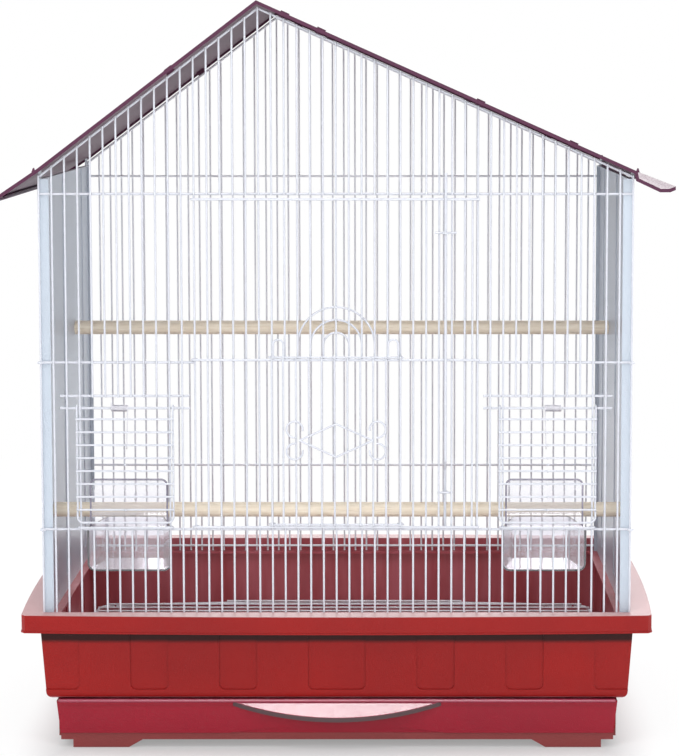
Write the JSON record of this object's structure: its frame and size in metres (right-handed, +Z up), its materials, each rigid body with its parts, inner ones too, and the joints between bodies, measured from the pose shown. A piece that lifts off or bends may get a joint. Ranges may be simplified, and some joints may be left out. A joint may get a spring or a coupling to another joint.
{
  "type": "wire bird cage",
  "caption": "Wire cage with an offset sheet gable roof, a sprung pair of feeder doors, a swing door with a small sliding door in it, perches, clear cups and a moulded base with a drawer.",
  "frame": {"origin": "centre of the outline at the level of the surface that the feet stand on", "axes": "+Z up, -Y the front with the doors and the drawer, +X to the right of someone who faces the front"},
  "size_m": [0.6656, 0.36, 0.7465],
  "materials": {
    "tub_plastic": "glossy moulded plastic",
    "drawer_plastic": "glossy moulded plastic",
    "wire_enamel": "glossy white powder coat",
    "panel_enamel": "satin enamel on sheet",
    "roof_enamel": "satin enamel on sheet",
    "clear_plastic": "clear moulded plastic",
    "pale_wood": "bare turned dowel",
    "bare_steel": "plated"
  },
  "bodies": {
    "cage": {"base_tub": "tub_plastic", "base_plinth": "tub_plastic", "floor_grille": "wire_enamel", "front_wires": "wire_enamel", "front_bars": "wire_enamel", "front_gable_wire": "wire_enamel", "rear_wires": "wire_enamel", "rear_bars": "wire_enamel", "rear_gable_wire": "wire_enamel", "left_feeder_bars": "wire_enamel", "right_feeder_bars": "wire_enamel", "left_side_panel": "panel_enamel", "right_side_panel": "panel_enamel", "roof": "roof_enamel", "roof_clips": "roof_enamel", "upper_perch": "pale_wood", "lower_perch": "pale_wood", "perch_screws": "bare_steel"},
    "drawer": {"drawer_tray": "drawer_plastic", "drawer_front": "drawer_plastic", "drawer_pull": "drawer_plastic"},
    "service_door": {"service_door_frame": "wire_enamel", "service_door_wires": "wire_enamel", "door_arches": "wire_enamel", "latch_guides": "wire_enamel"},
    "latch": {"latch_rod": "wire_enamel"},
    "sliding_door": {"sliding_door_frame": "wire_enamel", "sliding_door_wires": "wire_enamel", "sliding_door_ornament": "wire_enamel"},
    "left_feeder_flap": {"left_feeder_door": "wire_enamel", "left_door_spring": "bare_steel"},
    "right_feeder_flap": {"right_feeder_door": "wire_enamel", "right_door_spring": "bare_steel"},
    "left_cup": {"left_feeder_cup": "clear_plastic"},
    "right_cup": {"right_feeder_cup": "clear_plastic"}
  },
  "joints": [
    {"name": "drawer_slide", "type": "slide", "parent": "cage", "child": "drawer", "axis": [0, -1, 0], "range_m": [0, 0.28]},
    {"name": "service_door_hinge", "type": "hinge", "parent": "cage", "child": "service_door", "pos_m": [-0.1397, -0.16, 0.3905], "axis": [0, 0, -1], "range_deg": [0, 150]},
    {"name": "latch_slide", "type": "slide", "parent": "service_door", "child": "latch", "axis": [0, 0, 1], "range_m": [-0.0165, 0]},
    {"name": "sliding_door_slide", "type": "slide", "parent": "service_door", "child": "sliding_door", "axis": [0, 0, 1], "range_m": [0, 0.13]},
    {"name": "left_feeder_hinge", "type": "hinge", "parent": "cage", "child": "left_feeder_flap", "pos_m": [-0.20955, -0.15775, 0.3448], "axis": [1, 0, 0], "range_deg": [-100, 0], "stiffness_Nm_per_rad": 0.01, "deforming": ["left_door_spring"]},
    {"name": "right_feeder_hinge", "type": "hinge", "parent": "cage", "child": "right_feeder_flap", "pos_m": [0.20955, -0.15775, 0.3448], "axis": [1, 0, 0], "range_deg": [-100, 0], "stiffness_Nm_per_rad": 0.01, "deforming": ["right_door_spring"]},
    {"name": "left_cup_lift", "type": "slide", "parent": "cage", "child": "left_cup", "axis": [0, 0, 1], "range_m": [0, 0.06]},
    {"name": "right_cup_lift", "type": "slide", "parent": "cage", "child": "right_cup", "axis": [0, 0, 1], "range_m": [0, 0.06]}
  ]
}
